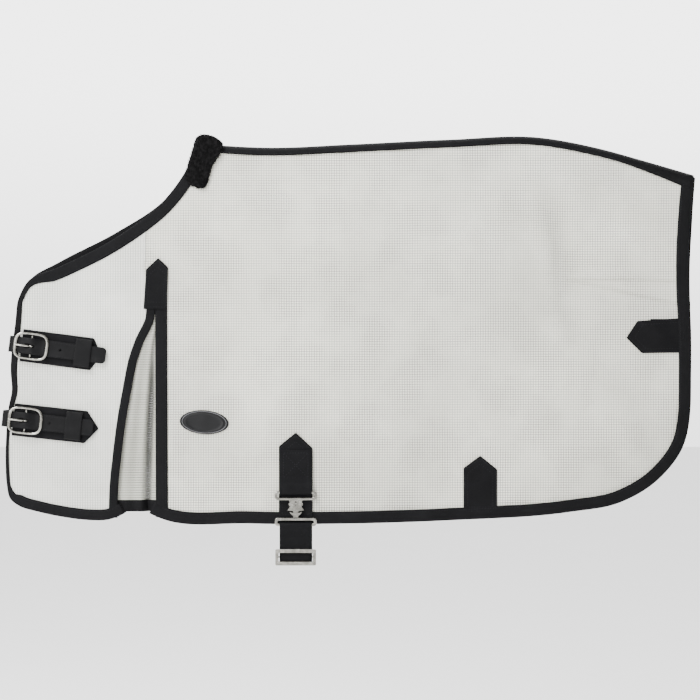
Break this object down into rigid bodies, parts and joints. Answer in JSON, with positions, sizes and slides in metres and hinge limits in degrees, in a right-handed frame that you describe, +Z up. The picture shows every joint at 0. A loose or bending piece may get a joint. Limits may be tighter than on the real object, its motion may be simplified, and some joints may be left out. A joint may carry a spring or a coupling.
{
  "type": "fly sheet",
  "caption": "Light mesh horse fly sheet with bound edges, buckled chest straps, gussets, a fleece withers pad and a hook-and-eye belly strap, folded over its spine.",
  "frame": {"origin": "inside of the spine fold at mid length", "axes": "+X from chest to tail, +Y from the near half to the far half, +Z up"},
  "size_m": [1.0746, 0.0452, 0.6664],
  "materials": {
    "mesh_cloth": "open weave of coated yarn",
    "chest_cloth": "open weave of coated yarn",
    "binding_tape": "woven tape",
    "webbing": "woven webbing",
    "fleece": "curly pile",
    "leather": "fine grain",
    "nickel": "nickel plate",
    "badge": "matt"
  },
  "bodies": {
    "sheet": {"badge": "badge", "far_body_panel": "mesh_cloth", "far_chest_binding": "binding_tape", "far_chest_panel": "chest_cloth", "far_gusset": "mesh_cloth", "far_gusset_front_binding": "binding_tape", "far_gusset_hem_binding": "binding_tape", "far_gusset_patch": "webbing", "far_gusset_rear_binding": "binding_tape", "far_hem_binding": "binding_tape", "far_leg_patch": "webbing", "far_neck_binding": "binding_tape", "far_rear_binding": "binding_tape", "far_rear_patch": "webbing", "far_ring_loops": "webbing", "far_surcingle_patch": "webbing", "far_surcingle_strap": "webbing", "lower_strap_billet": "leather", "lower_strap_buckle": "nickel", "lower_strap_chape": "leather", "lower_strap_far_pad": "webbing", "lower_strap_keeper": "leather", "lower_strap_pad": "webbing", "near_body_panel": "mesh_cloth", "near_chest_binding": "binding_tape", "near_chest_panel": "chest_cloth", "near_gusset": "mesh_cloth", "near_gusset_front_binding": "binding_tape", "near_gusset_hem_binding": "binding_tape", "near_gusset_patch": "webbing", "near_gusset_rear_binding": "binding_tape", "near_hem_binding": "binding_tape", "near_leg_patch": "webbing", "near_neck_binding": "binding_tape", "near_rear_binding": "binding_tape", "near_rear_patch": "webbing", "near_ring_loops": "webbing", "near_surcingle_patch": "webbing", "near_surcingle_tab": "webbing", "spine_binding": "binding_tape", "surcingle_eye": "nickel", "surcingle_hook": "nickel", "upper_strap_billet": "leather", "upper_strap_buckle": "nickel", "upper_strap_chape": "leather", "upper_strap_far_pad": "webbing", "upper_strap_keeper": "leather", "upper_strap_pad": "webbing", "withers_fleece": "fleece"},
    "upper_prong": {"upper_strap_prong": "nickel"},
    "lower_prong": {"lower_strap_prong": "nickel"},
    "surcingle_leg": {"surcingle_strap": "webbing", "surcingle_strap_end": "webbing"},
    "slide": {"surcingle_slide": "nickel"},
    "surcingle_turn": {"surcingle_turn": "webbing"},
    "surcingle_far_leg": {"surcingle_far_leg": "webbing"},
    "near_leg_ring": {"near_leg_ring": "nickel"},
    "far_leg_ring": {"far_leg_ring": "nickel"},
    "near_rear_ring": {"near_rear_ring": "nickel"},
    "far_rear_ring": {"far_rear_ring": "nickel"}
  },
  "joints": [
    {"name": "upper_prong_hinge", "type": "hinge", "parent": "sheet", "child": "upper_prong", "pos_m": [-0.49373, -0.019, -0.31237], "axis": [0.1288, 0, 0.9917], "range_deg": [0, 60]},
    {"name": "lower_prong_hinge", "type": "hinge", "parent": "sheet", "child": "lower_prong", "pos_m": [-0.50281, -0.019, -0.42744], "axis": [0.108, 0, 0.9942], "range_deg": [0, 60]},
    {"name": "surcingle_sway", "type": "hinge", "parent": "sheet", "child": "surcingle_leg", "pos_m": [-0.084, -0.01955, -0.5886], "axis": [1, 0, 0], "range_deg": [-12, 12]},
    {"name": "surcingle_far_sway", "type": "hinge", "parent": "sheet", "child": "surcingle_far_leg", "pos_m": [-0.084, 0.0176, -0.5886], "axis": [1, 0, 0], "range_deg": [-12, 12]},
    {"name": "surcingle_turn_hinge", "type": "hinge", "parent": "surcingle_leg", "child": "surcingle_turn", "pos_m": [-0.084, -0.02055, -0.641], "axis": [1, 0, 0], "range_deg": [-12, 12]},
    {"name": "strap_adjust", "type": "slide", "parent": "surcingle_leg", "child": "slide", "axis": [0, 0, 1], "range_m": [0, 0.012], "deforming": ["surcingle_strap_end"]},
    {"name": "near_leg_ring_hinge", "type": "hinge", "parent": "sheet", "child": "near_leg_ring", "pos_m": [0.202, -0.0104, -0.515], "axis": [1, 0, 0], "range_deg": [0, 18]},
    {"name": "near_rear_ring_hinge", "type": "hinge", "parent": "sheet", "child": "near_rear_ring", "pos_m": [0.478, -0.0104, -0.29], "axis": [1, 0, 0], "range_deg": [0, 18]},
    {"name": "far_leg_ring_hinge", "type": "hinge", "parent": "sheet", "child": "far_leg_ring", "pos_m": [0.202, 0.0104, -0.515], "axis": [-1, 0, 0], "range_deg": [0, 18]},
    {"name": "far_rear_ring_hinge", "type": "hinge", "parent": "sheet", "child": "far_rear_ring", "pos_m": [0.478, 0.0104, -0.29], "axis": [-1, 0, 0], "range_deg": [0, 18]}
  ],
  "couplings": [
    {"joint": "surcingle_far_sway", "follows": "surcingle_sway", "ratio": 1},
    {"joint": "surcingle_turn_hinge", "follows": "surcingle_sway", "ratio": -1}
  ]
}
